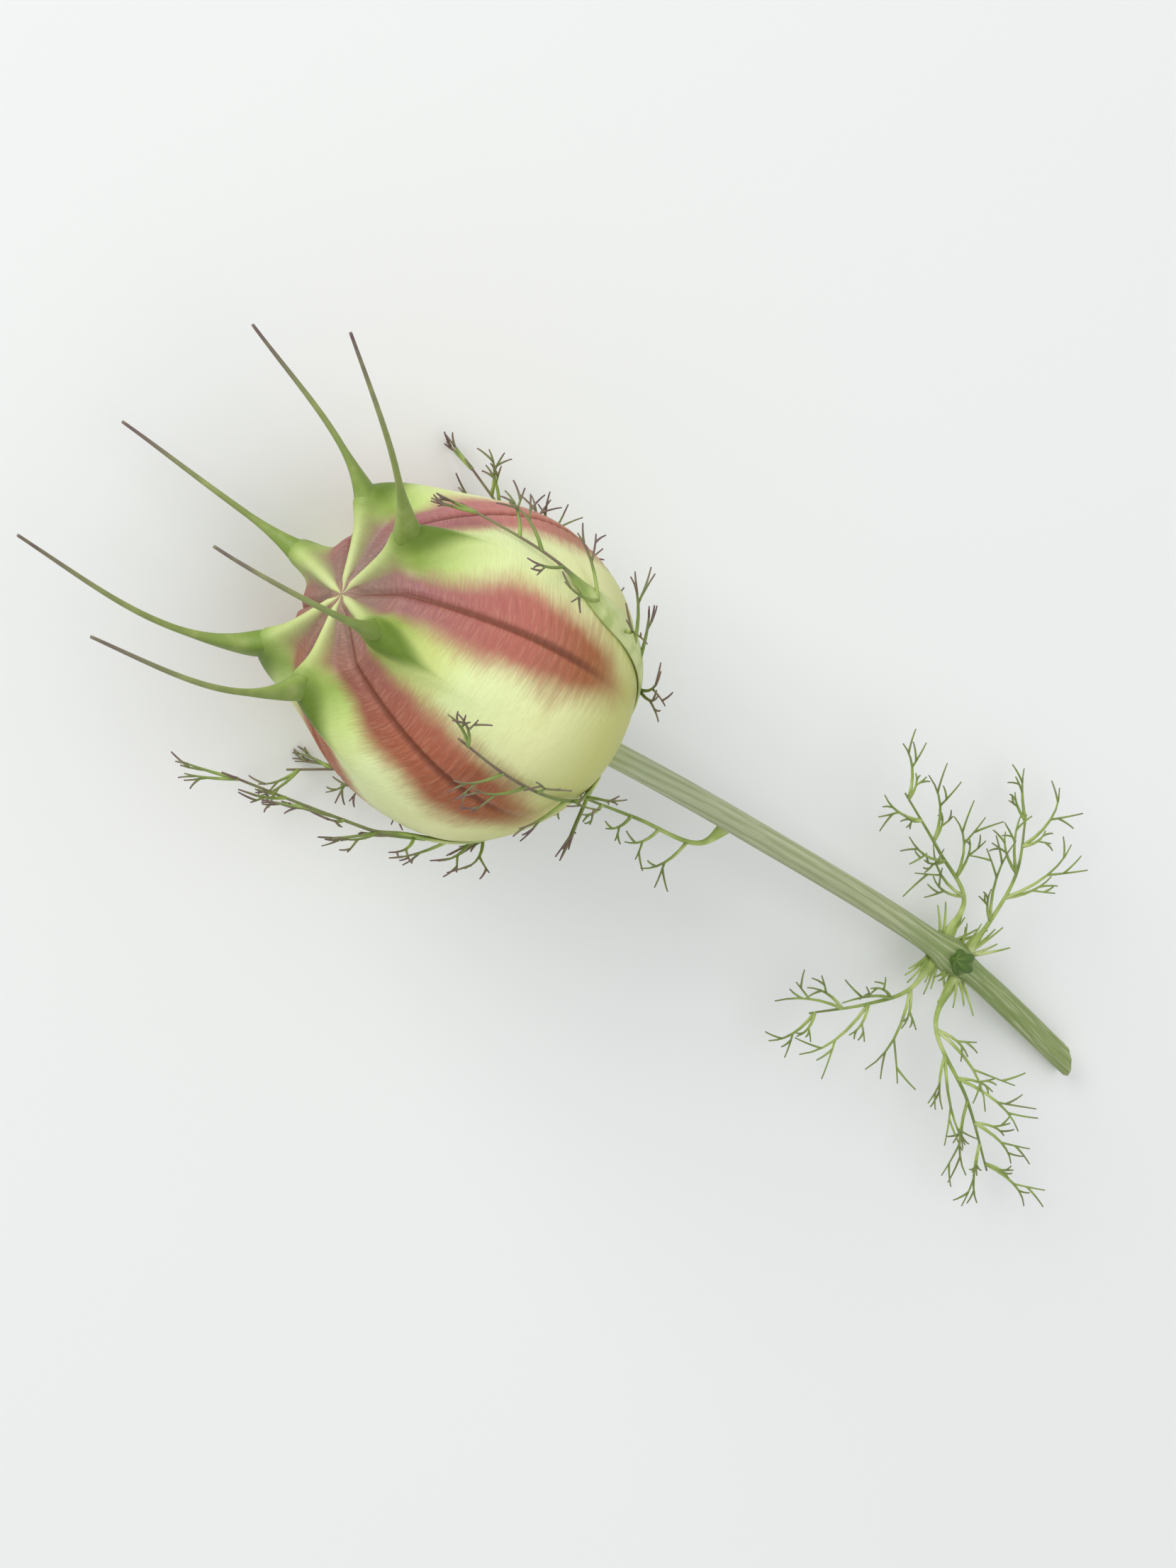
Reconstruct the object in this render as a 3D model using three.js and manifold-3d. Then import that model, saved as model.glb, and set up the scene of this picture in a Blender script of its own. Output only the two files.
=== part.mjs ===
// Nigella seed pod, as picked: an inflated capsule of fused carpels with its horns, a ruff of thread-cut
// bracts, and a cut stem that carries a bud and thread-cut leaves. It lies on its side on the surface z = 0.
// Millimetres, +Z up. The origin is the capsule's resting spot, the horns point to -X and the stem to +X.
import * as THREE from "three";
import { mergeVertices } from "three/addons/utils/BufferGeometryUtils.js";
import Module from "manifold-3d";

const wasm = await Module();
wasm.setup();

const { degToRad, lerp, smoothstep } = THREE.MathUtils;

// Capsule
const CAPSULE_RADIUS = 13.7;
const BASE_LENGTH = 13; // from the widest girth down to the stem
const CROWN_LENGTH = 15.2; // from the widest girth up, before the carpels' tips shape it
const REST_DEPTH = 0.2; // how far the resting side is pressed flat
const CARPELS = 6;
const FIRST_CARPEL = degToRad(-9); // azimuth of the first carpel's back, counted from the upper side
const CAPSULE_AROUND = 60;
const CAPSULE_ALONG = 28;

// Crown, where the carpels' backs run in to a star's centre as arms, with the seams as valleys between them
const RIM_ANGLE = degToRad(148); // polar angle of the rim that the horns stand on, counted from the base
const LOBE_START = degToRad(100);
const LOBE_SHARE = 0.12; // how far a carpel's back stands out at the rim, as a share of the radius
const GIRTH_LOBE_SHARE = 0.015;
const BACK_RISE = 2.6;
const SEAM_RISE = 0.5;
const ARM_SHARPNESS = 2.2; // power that narrows a carpel's back to an arm
const CROWN_CENTRE = 14.3; // height of the star's centre above the widest girth
const ARM_BOW = 1.2; // powers of the way in from the rim to the star's centre
const SEAM_BOW = 1.3;

// Dimple that the stem sits in
const DIMPLE_DEPTH = 0.6;
const DIMPLE_RADIUS = 1.8;

// Horns, one on each carpel from the first, with each one's length and its lean away from the pod's axis
const HORN_LENGTHS = [18.6, 23.4, 18.5, 19, 25.5, 22];
const HORN_LEANS = [-9, 32, 19, 16, -8, 4].map(degToRad);
const HORN_ROOT_LEAN = degToRad(52);
const HORN_ROOT_RADIUS = 1.5;
const HORN_NECK_RADIUS = 0.5; // where the broad root has run out into the thread
const HORN_TIP_RADIUS = 0.3;
const HORN_NECK = 0.26; // share of the length that the root takes
const HORN_SUNK = 1.3;
const HORN_BEND = 3; // power of the share still to run, so that most of the turn is near the root
const HORN_SIDES = 6;
const HORN_STEPS = 9;

// Stem
const STEM_LENGTH = 64;
const STEM_RADIUS = 1.1;
const STEM_TOP_GAP = 0.35; // between the stem's top and the dimple
const STEM_TOP_SWELL = 0.25;
const STEM_TOP_SPREAD = 2;
const STEM_RIDGES = 6;
const STEM_RIDGE_SHARE = 0.06;
const STEM_SIDES = 12;
const STEM_STEPS = 26;
const STEM_BOW = 0.5;
const STEM_BOW_AT = 0.4; // share of the way to the leafy joint where it bows most
const NODE_AT = 46; // distance of the leafy joint below the capsule
const NODE_SWELL = 0.55;
const NODE_SPREAD = 1.8;
const NODE_TURN = degToRad(-9); // the stem turns here, seen from above
const CUT_SLANT = 1.1; // how far the slanted cut runs along the stem on each side

// Bud on the upper side of the leafy joint
const BUD_RADIUS = 1.1;
const BUD_LENGTH = 3;
const BUD_LIFT = 1.9; // height of its middle above the stem's
const BUD_LEAN = degToRad(30); // how far it points up from the stem
const BUD_AROUND = 10;
const BUD_ALONG = 6;

// Threads of the bracts and leaves
const THREAD_ROOT_RADIUS = 0.5;
const THREAD_TIP_RADIUS = 0.3;
const TWIG_RADIUS = 0.34;
const THREAD_GAP = 0.3; // between touching pieces
const TWIG_SIDES = 3;
const RACHIS_SIDES = 5;
const RACHIS_STEPS = 10;
const FORK_AT = 0.55; // share of a twig's length where it forks
const FORK_ANGLE = degToRad(26);
const TWIG_ANGLE = degToRad(52);
const TWIGS_FROM = 0.24; // shares of a rachis between which its twigs stand
const TWIGS_TO = 0.96;
const LEAST_RISE = 0.1; // turn of a twig to the free side, in radians
const MOST_RISE = 0.9;
const TIP_REACH = 0.6; // length of a twig at a rachis's tip, as a share of one at its root
const LEAST_REACH = 0.75; // spread of the twigs' lengths
const MOST_REACH = 1.2;

// Bracts: azimuth round the pod's axis from its upper side, reach as a polar angle, lift of the tip off the
// capsule, and drift of the azimuth towards the tip. The second and the fifth come down to the surface.
const BRACTS = [
  { azimuth: 42, reach: 129, lift: 1, drift: 33, twigs: 7 },
  { azimuth: 126, reach: 100, lift: 5, drift: 2, twigs: 8 },
  { azimuth: -24, reach: 112, lift: 0.6, drift: 2, twigs: 6 },
  { azimuth: -80, reach: 130, lift: 9, drift: -2, twigs: 9 },
  { azimuth: -132, reach: 98, lift: 5, drift: 2, twigs: 8 },
];
const BRACT_START = 0.137; // polar angle where a bract leaves the stem's top
const BRACT_HUG = 0.95; // gap from the capsule's skin to a bract's midline at its root
const BRACT_FLOOR = 0.15; // least height of a midline, so that a thread lies pressed against the surface
const BRACT_BEND = 7; // power of the share run, so that lift and drift come late
const BRACT_STRETCHES = 6;
const BRACT_TWIG_LENGTH = 7;
const BRACT_SEED = 11;

// Leaves: place along the stem, heading in plan, length, rise at the middle and at the tip. The first lies
// back against the stem.
const LEAVES = [
  { at: 18, heading: 188, length: 17, rise: 0.6, tip: 1.2, twigs: 5, leftOnly: true },
  { at: NODE_AT - 1.2, heading: 156, length: 16, rise: 2.6, tip: 3.2, twigs: 6 },
  { at: NODE_AT + 1.2, heading: 100, length: 12, rise: 1.6, tip: -0.6, twigs: 5 },
  { at: NODE_AT - 1.4, heading: 220, length: 12, rise: 1.6, tip: 0.4, twigs: 5 },
  { at: NODE_AT + 1.4, heading: 326, length: 20, rise: 0.4, tip: -1.8, twigs: 7 },
];
const LEAF_TWIG_LENGTH = 5;
const LEAF_SEED = 29;
const LEAF_ASIDE = 0.16; // share of the length that a leaf steps away from the stem
const LEAF_STRETCHES = [0.04, 0.4, 0.42]; // shares of the length along its heading, from point to point
const LEAF_FIRST_RISE = 0.3; // share of the rise at the first of these points
const LEAF_FLOOR_GAP = 0.1; // between a leaf's threads and the surface

// Block that cuts off what lies below the surface
const BLOCK_SIZE = 60;
const BLOCK_DEPTH = 10;

const REST_HEIGHT = CAPSULE_RADIUS - REST_DEPTH;
const LEAN = Math.asin((REST_HEIGHT - STEM_RADIUS) / (BASE_LENGTH + STEM_LENGTH));

const GREEN_SKIN = new THREE.MeshStandardMaterial({ color: "#c5b878", roughness: 0.55, metalness: 0 });
const GREEN_STEM = new THREE.MeshStandardMaterial({ color: "#93a062", roughness: 0.6, metalness: 0 });
const GREEN_THREAD = new THREE.MeshStandardMaterial({ color: "#6f8a3f", roughness: 0.65, metalness: 0 });

// A repeatable draw between 0 and 1
function drawFrom(seed) {
  let state = seed >>> 0;
  return () => {
    state = (Math.imul(state, 1664525) + 1013904223) >>> 0;
    return state / 4294967296;
  };
}

// Closed geometry as a solid that can be joined and cut
function solidOf(geometry) {
  const bare = new THREE.BufferGeometry().setAttribute("position", geometry.getAttribute("position"));
  bare.setIndex(geometry.getIndex());
  const merged = mergeVertices(bare, 1e-4);
  return new wasm.Manifold(
    new wasm.Mesh({
      numProp: 3,
      vertProperties: new Float32Array(merged.getAttribute("position").array),
      triVerts: new Uint32Array(merged.getIndex().array),
    }),
  );
}

function geometryOf(solid) {
  const mesh = solid.getMesh();
  const geometry = new THREE.BufferGeometry();
  geometry.setAttribute("position", new THREE.BufferAttribute(new Float32Array(mesh.vertProperties), 3));
  geometry.setIndex(new THREE.BufferAttribute(new Uint32Array(mesh.triVerts), 1));
  geometry.computeVertexNormals();
  return geometry;
}

function joined(geometries) {
  return geometries.map(solidOf).reduce((sum, next) => sum.add(next));
}

// A rod bent along a curve. radiusAt gives its radius by share of length and angle, and slant moves the far
// end's rim.
function bentRod(curve, radiusAt, sides, steps, slant = 0) {
  const frames = curve.computeFrenetFrames(steps);
  const rod = new THREE.CylinderGeometry(1, 1, 1, sides, steps);
  const position = rod.getAttribute("position");
  for (let i = 0; i < position.count; i++) {
    const share = position.getY(i) + 0.5;
    const k = Math.round(share * steps);
    const across = position.getX(i);
    const up = position.getZ(i);
    const radius = radiusAt(share, Math.atan2(across, up));
    const point = curve.getPointAt(share);
    point.addScaledVector(frames.binormals[k], across * radius);
    point.addScaledVector(frames.normals[k], up * radius);
    if (k === steps) point.addScaledVector(frames.tangents[k], across * slant);
    position.setXYZ(i, point.x, point.y, point.z);
  }
  return rod;
}

function thread(points, rootRadius, tipRadius, sides, steps) {
  const curve = new THREE.CatmullRomCurve3(points);
  return bentRod(curve, (share) => lerp(rootRadius, tipRadius, share), sides, steps);
}

// The pod's own frame: +Y along its axis to the crown, +Z to its upper side, origin at the capsule's middle.
// The outer group leans the axis up by LEAN and the inner one turns +Y to the world's -X.
const leaning = new THREE.Group();
leaning.position.set(0, 0, REST_HEIGHT);
leaning.rotation.y = LEAN;
const pod = new THREE.Group();
pod.rotation.z = Math.PI / 2;
leaning.add(pod);
leaning.updateMatrixWorld(true);
const podUp = new THREE.Vector3(0, Math.sin(LEAN), Math.cos(LEAN)); // the world's +Z in the pod's frame

// A point of the capsule's skin. s runs from the base, 0, to the star's centre, PI, and phi from the upper
// side to +X.
function capsulePoint(s, phi) {
  const wave = (1 + Math.cos(CARPELS * (phi - FIRST_CARPEL))) / 2;
  const side = Math.min(s, RIM_ANGLE);
  const inward = Math.min((Math.PI - s) / (Math.PI - RIM_ANGLE), 1); // 1 to the rim, 0 at the star's centre
  const lobing = smoothstep(side, LOBE_START, RIM_ANGLE);
  const back = Math.pow(wave, lerp(1, ARM_SHARPNESS, lobing)); // 1 along a carpel's back, 0 along a seam
  const lobe = (back - 0.5) * (lobing * LOBE_SHARE + GIRTH_LOBE_SHARE * Math.sin(side) ** 2);
  const r = CAPSULE_RADIUS * Math.sin(side) * (1 + lobe) * inward;
  let y = -BASE_LENGTH * Math.cos(side);
  if (side > Math.PI / 2) {
    y = -Math.cos(side) * (CROWN_LENGTH + lobing * lerp(SEAM_RISE, BACK_RISE, back));
    y = CROWN_CENTRE + (y - CROWN_CENTRE) * Math.pow(inward, lerp(SEAM_BOW, ARM_BOW, back));
  } else {
    y += DIMPLE_DEPTH * Math.exp(-((r / DIMPLE_RADIUS) ** 2));
  }
  return new THREE.Vector3(r * Math.sin(phi), y, r * Math.cos(phi));
}

// A horn leaves the rim leaning far out and turns up to its own lean, so its path is summed in short steps.
function horn(index) {
  const phi = FIRST_CARPEL + (index * 2 * Math.PI) / CARPELS;
  const outward = new THREE.Vector3(Math.sin(phi), 0, Math.cos(phi));
  const step = HORN_LENGTHS[index] / HORN_STEPS;
  const point = capsulePoint(RIM_ANGLE, phi);
  point.addScaledVector(outward, -HORN_SUNK * Math.sin(HORN_ROOT_LEAN));
  point.y -= HORN_SUNK * Math.cos(HORN_ROOT_LEAN);
  const points = [point.clone()];
  for (let i = 0; i < HORN_STEPS; i++) {
    const lean = lerp(HORN_LEANS[index], HORN_ROOT_LEAN, (1 - i / HORN_STEPS) ** HORN_BEND);
    point.addScaledVector(outward, step * Math.sin(lean));
    point.y += step * Math.cos(lean);
    points.push(point.clone());
  }
  const radiusAt = (share) =>
    lerp(HORN_NECK_RADIUS, HORN_TIP_RADIUS, share) +
    (HORN_ROOT_RADIUS - HORN_NECK_RADIUS) * (1 - Math.min(share / HORN_NECK, 1)) ** 2;
  return bentRod(new THREE.CatmullRomCurve3(points), radiusAt, HORN_SIDES, HORN_STEPS);
}

// What lies below the surface, in the pod's frame
function belowSurface() {
  const below = new THREE.BoxGeometry(BLOCK_SIZE, BLOCK_SIZE, BLOCK_DEPTH).translate(0, 0, -BLOCK_DEPTH / 2);
  return solidOf(below.applyMatrix4(pod.matrixWorld.clone().invert()));
}

// The capsule with its horns, pressed flat where it rests
function capsule() {
  const skin = new THREE.SphereGeometry(1, CAPSULE_AROUND, CAPSULE_ALONG);
  const position = skin.getAttribute("position");
  for (let i = 0; i < position.count; i++) {
    const s = Math.acos(THREE.MathUtils.clamp(-position.getY(i), -1, 1));
    const point = capsulePoint(s, FIRST_CARPEL + Math.atan2(position.getX(i), position.getZ(i)));
    position.setXYZ(i, point.x, point.y, point.z);
  }
  const horns = HORN_LENGTHS.map((_, index) => horn(index));
  return geometryOf(joined([skin, ...horns]).subtract(belowSurface()));
}

// Moves a point of the pod's frame out of the capsule and up off the surface
function keepClear(point) {
  const s = Math.acos(THREE.MathUtils.clamp(-point.y / point.length(), -1, 1));
  const skin = capsulePoint(Math.min(s, RIM_ANGLE), Math.atan2(point.x, point.z)).length();
  if (point.length() < skin + BRACT_HUG) point.setLength(skin + BRACT_HUG);
  const height = REST_HEIGHT + point.dot(podUp);
  if (height < BRACT_FLOOR) point.addScaledVector(podUp, BRACT_FLOOR - height);
  return point;
}

// Forked twigs in turn to the left and right along a rachis, or all to the left of one that lies against the
// stem. outwardAt gives the free side at a point, and clear bends an end that would meet something.
function twigs(rachis, count, length, draw, outwardAt, clear, leftOnly = false) {
  const made = [];
  for (let i = 0; i < count; i++) {
    const share = lerp(TWIGS_FROM, TWIGS_TO, i / (count - 1));
    const root = rachis.getPointAt(share);
    const along = rachis.getTangentAt(share);
    const outward = outwardAt(root);
    const aside = new THREE.Vector3().crossVectors(along, outward).normalize();
    aside.multiplyScalar(i % 2 && !leftOnly ? 1 : -1);
    const rise = lerp(LEAST_RISE, MOST_RISE, draw());
    const open = aside.multiplyScalar(Math.cos(rise)).addScaledVector(outward, Math.sin(rise));
    const reach = length * lerp(1, TIP_REACH, share) * lerp(LEAST_REACH, MOST_REACH, draw());
    const heading = (angle) =>
      along.clone().multiplyScalar(Math.cos(angle)).addScaledVector(open, Math.sin(angle)).normalize();
    const fork = clear(root.clone().addScaledVector(heading(TWIG_ANGLE), reach * FORK_AT));
    const endAt = (turn) =>
      clear(fork.clone().addScaledVector(heading(TWIG_ANGLE + turn), reach * (1 - FORK_AT)));
    const path = [root, fork, endAt(-FORK_ANGLE)];
    const middle = new THREE.CatmullRomCurve3(path).getPointAt(0.5);
    made.push(thread(path, TWIG_RADIUS, THREAD_TIP_RADIUS, TWIG_SIDES, 2));
    made.push(thread([middle, endAt(FORK_ANGLE)], THREAD_TIP_RADIUS, THREAD_TIP_RADIUS, TWIG_SIDES, 1));
  }
  return made;
}

// A bract climbs from the stem's top round the capsule's side, and its tip lifts off
function bract({ azimuth, reach, lift, drift, twigs: count }, seed) {
  const points = [];
  for (let i = 0; i <= BRACT_STRETCHES; i++) {
    const share = i / BRACT_STRETCHES;
    const s = lerp(BRACT_START, degToRad(reach), share);
    const bend = share ** BRACT_BEND;
    const point = capsulePoint(s, degToRad(azimuth + drift * bend));
    point.addScaledVector(point.clone().normalize(), BRACT_HUG + lift * bend);
    points.push(i ? keepClear(point) : point);
  }
  const rachis = new THREE.CatmullRomCurve3(points);
  const outwardAt = (point) => point.clone().normalize();
  const small = twigs(rachis, count, BRACT_TWIG_LENGTH, drawFrom(seed), outwardAt, keepClear);
  const main = thread(points, THREAD_ROOT_RADIUS, THREAD_TIP_RADIUS, RACHIS_SIDES, RACHIS_STEPS);
  return geometryOf(joined([main, ...small]).subtract(belowSurface()));
}

// The stem runs on along the pod's axis, turns at its leafy joint and ends on the surface
const stemTop = new THREE.Vector3(0, -BASE_LENGTH + DIMPLE_DEPTH - STEM_TOP_GAP, 0);
stemTop.applyMatrix4(pod.matrixWorld);
const down = new THREE.Vector3(Math.cos(LEAN), 0, -Math.sin(LEAN));
const turned = new THREE.Vector3(down.x * Math.cos(NODE_TURN), down.x * Math.sin(NODE_TURN), down.z);
const nodePoint = stemTop.clone().addScaledVector(down, NODE_AT);
const stemCurve = new THREE.CatmullRomCurve3([
  stemTop,
  stemTop.clone().addScaledVector(down, NODE_AT * STEM_BOW_AT).add(new THREE.Vector3(0, STEM_BOW, 0)),
  nodePoint,
  nodePoint.clone().addScaledVector(turned, STEM_LENGTH - NODE_AT),
]);

// The stem's outer radius at a distance below the capsule: it swells under the pod and at the leafy joint
function stemRadius(distance) {
  const swell = (middle, width) => Math.exp(-(((distance - middle) / width) ** 2));
  return STEM_RADIUS + STEM_TOP_SWELL * swell(0, STEM_TOP_SPREAD) + NODE_SWELL * swell(NODE_AT, NODE_SPREAD);
}

// An egg that points along the stem towards the pod
function bud() {
  const egg = new THREE.SphereGeometry(1, BUD_AROUND, BUD_ALONG);
  egg.scale(BUD_RADIUS, BUD_LENGTH / 2, BUD_RADIUS);
  const way = new THREE.Vector3(-Math.cos(LEAN + BUD_LEAN), 0, Math.sin(LEAN + BUD_LEAN));
  egg.applyQuaternion(new THREE.Quaternion().setFromUnitVectors(new THREE.Vector3(0, 1, 0), way));
  return egg.translate(nodePoint.x, nodePoint.y, nodePoint.z + BUD_LIFT);
}

function stem() {
  const radiusAt = (share, angle) =>
    stemRadius(share * STEM_LENGTH) * (1 + STEM_RIDGE_SHARE * (Math.cos(STEM_RIDGES * angle) - 1));
  return geometryOf(joined([bentRod(stemCurve, radiusAt, STEM_SIDES, STEM_STEPS, CUT_SLANT), bud()]));
}

// A leaf stands clear of the stem at its root, heads off in plan, and keeps off the surface
function leaf({ at, heading, length, rise, tip, twigs: count, leftOnly }, seed) {
  const share = at / STEM_LENGTH;
  const plan = new THREE.Vector3(Math.cos(degToRad(heading)), Math.sin(degToRad(heading)), 0);
  const along = stemCurve.getTangentAt(share);
  const across = plan.clone().addScaledVector(along, -plan.dot(along)).normalize();
  const root = stemCurve.getPointAt(share);
  root.addScaledVector(across, stemRadius(at) + THREAD_GAP + THREAD_ROOT_RADIUS);
  const lifted = (point) => point.setZ(Math.max(point.z, THREAD_TIP_RADIUS + LEAF_FLOOR_GAP));
  const [first, second, third] = LEAF_STRETCHES.map((stretch) => stretch * length);
  const aside = root.clone().addScaledVector(across, LEAF_ASIDE * length).addScaledVector(plan, first);
  const middle = aside.clone().addScaledVector(plan, second);
  const points = [
    root,
    lifted(aside.setZ(root.z + LEAF_FIRST_RISE * rise)),
    lifted(middle.setZ(root.z + rise)),
    lifted(middle.clone().addScaledVector(plan, third).setZ(root.z + tip)),
  ];
  const rachis = new THREE.CatmullRomCurve3(points);
  const outwardAt = () => new THREE.Vector3(0, 0, 1);
  const small = twigs(rachis, count, LEAF_TWIG_LENGTH, drawFrom(seed), outwardAt, lifted, leftOnly);
  const main = thread(points, THREAD_ROOT_RADIUS, THREAD_TIP_RADIUS, RACHIS_SIDES, RACHIS_STEPS);
  return geometryOf(joined([main, ...small]));
}

function named(name, geometry, material) {
  const mesh = new THREE.Mesh(geometry, material);
  mesh.name = name;
  return mesh;
}

const nigella = new THREE.Group();
nigella.add(leaning);
pod.add(named("capsule", capsule(), GREEN_SKIN));
BRACTS.forEach((shape, i) => pod.add(named(`bract_${i + 1}`, bract(shape, BRACT_SEED + i), GREEN_THREAD)));
nigella.add(named("stem", stem(), GREEN_STEM));
LEAVES.forEach((shape, i) => nigella.add(named(`leaf_${i + 1}`, leaf(shape, LEAF_SEED + i), GREEN_THREAD)));

export default nigella;
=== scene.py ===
# %% [markdown]
# # A nigella seed pod out of formulas
# A nigella pod is a capsule that six carpels have blown up together. Each carpel ends in a horn, a ruff
# of thread-cut bracts holds the base, and a ribbed stem carries a bud and a few thread-cut leaves. It lies
# here on its side, as picked. The solids are loaded first and stay where they are. Every piece made below
# stands for one of them, or for a part of one, as a finer surface that numpy works out from two parameters.

import bpy
import numpy as np
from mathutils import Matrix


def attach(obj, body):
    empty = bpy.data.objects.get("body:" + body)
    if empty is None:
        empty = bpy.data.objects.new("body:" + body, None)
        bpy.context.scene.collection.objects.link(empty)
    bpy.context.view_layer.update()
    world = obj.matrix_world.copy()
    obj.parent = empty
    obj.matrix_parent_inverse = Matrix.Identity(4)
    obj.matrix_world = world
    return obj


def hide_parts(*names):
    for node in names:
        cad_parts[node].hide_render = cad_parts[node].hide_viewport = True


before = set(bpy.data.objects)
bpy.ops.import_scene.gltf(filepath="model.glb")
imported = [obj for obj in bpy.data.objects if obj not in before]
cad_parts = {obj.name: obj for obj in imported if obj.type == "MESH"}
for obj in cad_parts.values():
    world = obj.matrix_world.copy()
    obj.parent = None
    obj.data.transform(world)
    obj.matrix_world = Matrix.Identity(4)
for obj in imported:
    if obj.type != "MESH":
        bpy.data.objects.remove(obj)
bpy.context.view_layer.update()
print("solids:", ", ".join(sorted(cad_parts)))

# %% [markdown]
# ## The pod's own frame
# It is easiest to think of the pod as standing on its stem: one axis runs up to the crown, one to the
# side, and one to the side that faces up when it lies down. Points are worked out in that frame in
# millimetres, then turned into the frame of the surface, where the stem slopes down until its cut end
# touches.

# %% Lay the pod down
MM = 0.001
CAPSULE_RADIUS = 13.7
BASE_LENGTH = 13.0  # from the widest girth down to the stem
REST_DEPTH = 0.2  # how far the resting side is pressed flat
STEM_LENGTH = 64.0
STEM_RADIUS = 1.1
REST_HEIGHT = CAPSULE_RADIUS - REST_DEPTH
LEAN = np.arcsin((REST_HEIGHT - STEM_RADIUS) / (BASE_LENGTH + STEM_LENGTH))

TO_SIDE = np.array([0.0, 1.0, 0.0])
TO_CROWN = np.array([-np.cos(LEAN), 0.0, np.sin(LEAN)])
TO_TOP = np.array([np.sin(LEAN), 0.0, np.cos(LEAN)])
POD_AXES = np.stack([TO_SIDE, TO_CROWN, TO_TOP])


def laid_down(points):
    """Pod-frame points as sums of the three axes, lifted by the resting height."""
    return points @ POD_AXES + np.array([0.0, 0.0, REST_HEIGHT])


print(f"the pod's axis leans {np.degrees(LEAN):.1f} degrees")

# %% [markdown]
# ## Tubes with closed ends
# The capsule, the horns, the stem and every thread are the same kind of surface: rings of points, one
# after another, with a single point that closes each end. So one helper knits any number of such tubes
# into a mesh. Numbers that a finish needs, such as how far along a thread a point is, go into the mesh as
# attributes.

# %% Knit rings into a mesh
def unit(vectors):
    """Each vector divided by its own length."""
    return vectors / np.linalg.norm(vectors, axis=-1, keepdims=True)


def mix(low, high, share):
    """low at share 0, high at share 1, and a straight line between."""
    return low + (high - low) * share


def ease(value, start, end):
    """0 before start, 1 after end, and 3t^2 - 2t^3 between."""
    t = np.clip((value - start) / (end - start), 0, 1)
    return t * t * (3 - 2 * t)


def tube_faces(tubes, rows, columns):
    """Quads between neighbouring rings, and triangles from each end ring to the point that closes it."""
    ring = np.arange(tubes * rows * columns).reshape(tubes, rows, columns)
    beside = np.roll(ring, -1, axis=2)
    quads = np.stack([ring[:, :-1], beside[:, :-1], beside[:, 1:], ring[:, 1:]], axis=-1).reshape(-1, 4)
    ends = ring.size + np.arange(2 * tubes).reshape(2, tubes, 1)
    first, last = np.broadcast_to(ends, (2, tubes, columns))
    near = np.stack([first, beside[:, 0], ring[:, 0]], axis=-1).reshape(-1, 3)
    far = np.stack([last, ring[:, -1], beside[:, -1]], axis=-1).reshape(-1, 3)
    return quads, np.concatenate([near, far])


def tube_points(rings, starts, ends):
    """All ring points, then the points that close the tubes' starts, then those of their ends."""
    return np.concatenate([rings.reshape(-1, 3), starts.reshape(-1, 3), ends.reshape(-1, 3)])


def tube_values(values):
    """One number for each of tube_points, where a closing point takes its end ring's mean."""
    return np.concatenate([values.ravel(), values[:, 0].mean(axis=-1), values[:, -1].mean(axis=-1)])


def add_piece(name, parts, material, node):
    """A mesh of sets of tubes, each (rings, starts, ends, attributes), that takes the place of a solid."""
    points, quads, triangles, values, used = [], [], [], {}, 0
    for rings, starts, ends, attributes in parts:
        square, corner = tube_faces(*rings.shape[:3])
        points.append(tube_points(rings, starts, ends))
        quads.append(square + used)
        triangles.append(corner + used)
        used += len(points[-1])
        for key, numbers in attributes.items():
            values.setdefault(key, []).append(tube_values(numbers))
    points, quads, triangles = (np.concatenate(x) for x in (points, quads, triangles))
    corners = np.concatenate([quads.ravel(), triangles.ravel()]).astype(np.int32)
    sizes = np.concatenate([np.full(len(quads), 4), np.full(len(triangles), 3)])
    mesh = bpy.data.meshes.new(name)
    mesh.vertices.add(len(points))
    mesh.vertices.foreach_set("co", (points * MM).astype(np.float32).ravel())
    mesh.loops.add(len(corners))
    mesh.loops.foreach_set("vertex_index", corners)
    mesh.polygons.add(len(sizes))
    mesh.polygons.foreach_set("loop_start", (np.cumsum(sizes) - sizes).astype(np.int32))
    mesh.polygons.foreach_set("use_smooth", np.ones(len(sizes), bool))
    for key, numbers in values.items():
        attribute = mesh.attributes.new(key, "FLOAT", "POINT")
        attribute.data.foreach_set("value", np.concatenate(numbers).astype(np.float32))
    mesh.update(calc_edges=True)
    mesh.materials.append(material)
    piece = bpy.data.objects.new(name, mesh)
    bpy.context.scene.collection.objects.link(piece)
    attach(piece, "root")
    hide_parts(node)
    print(f"{name}: {len(points)} points, {2 * len(quads) + len(triangles)} triangles")


# %% [markdown]
# ## Helpers for finishes
# A finish is a tree of shader nodes. These helpers add one node in one line, so that a finish can be read
# from top to bottom. Colours are given as a painter would pick them on a screen, from 0 to 255, and
# turned to the linear values that light is reckoned in.

# %% Add shader nodes in one line
def paint(red, green, blue):
    """A screen colour as linear red, green, blue and full opacity."""
    screen = np.array([red, green, blue]) / 255
    linear = np.where(screen <= 0.04045, screen / 12.92, ((screen + 0.055) / 1.055) ** 2.4)
    return (*linear.tolist(), 1.0)


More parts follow.
